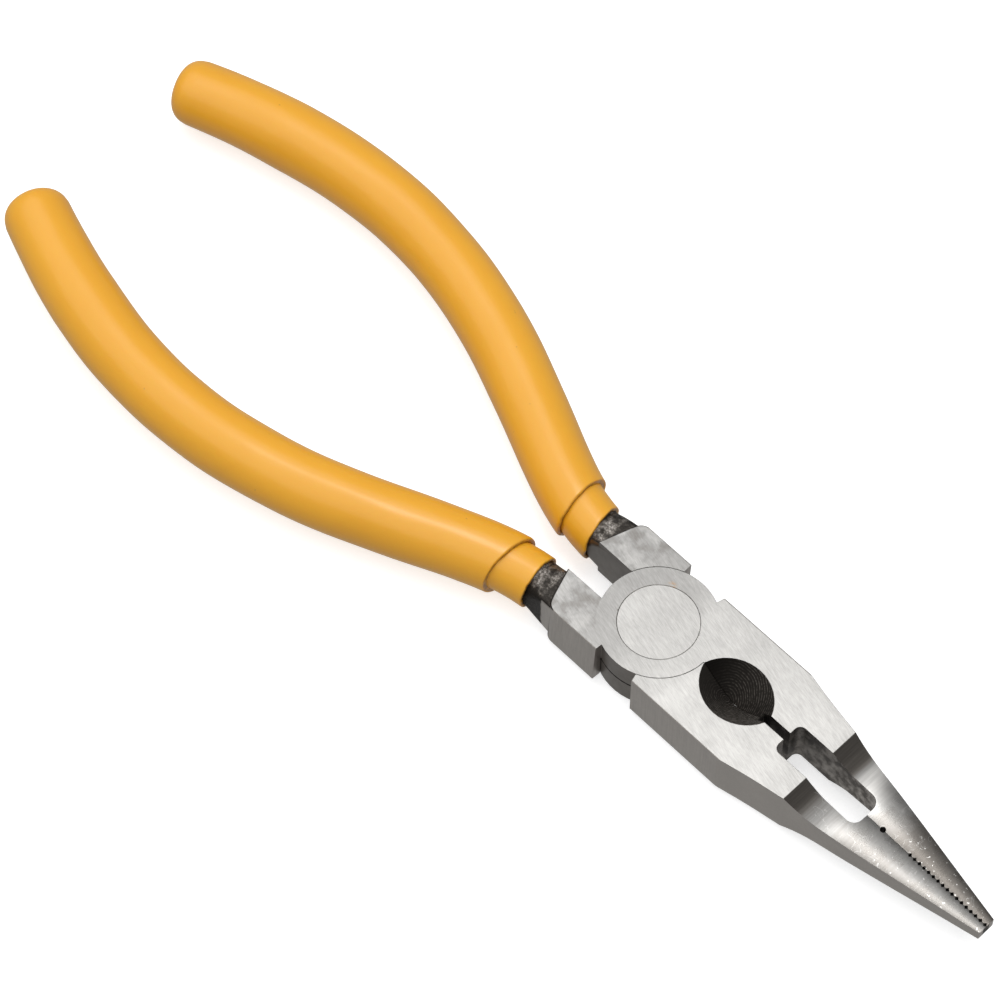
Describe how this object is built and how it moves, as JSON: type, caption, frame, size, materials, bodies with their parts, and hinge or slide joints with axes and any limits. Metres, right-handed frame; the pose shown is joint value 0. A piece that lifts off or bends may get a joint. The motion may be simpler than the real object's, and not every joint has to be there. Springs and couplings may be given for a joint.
{
  "type": "needle nose pliers",
  "caption": "Long tapered needle nose pliers with a lap joint, side cutter recess, crimping pocket, serrated tip and dipped orange-yellow grips.",
  "frame": {"origin": "pivot axis at the underside of the head, which is the flat face of the lap joint", "axes": "+X from the pivot to the nose tip, +Y towards the left handle, +Z along the pivot axis out of the top of the head"},
  "size_m": [0.2059, 0.0654, 0.0122],
  "materials": {
    "forged_steel": "ground bright on the faces, black forging scale in the recesses and on the neck",
    "rivet_steel": "ground flush with the head",
    "liner_vinyl": "satin dipped vinyl",
    "cover_vinyl": "satin dipped vinyl"
  },
  "bodies": {
    "right_half": {"right_forging": "forged_steel", "pivot_rivet": "rivet_steel", "right_grip_liner": "liner_vinyl", "right_grip_cover": "cover_vinyl"},
    "left_half": {"left_forging": "forged_steel", "left_grip_liner": "liner_vinyl", "left_grip_cover": "cover_vinyl"}
  },
  "joints": [
    {"name": "jaw_pivot", "type": "hinge", "parent": "right_half", "child": "left_half", "pos_m": [0, 0, 0.0049], "axis": [0, 0, -1], "range_deg": [0, 38]}
  ]
}
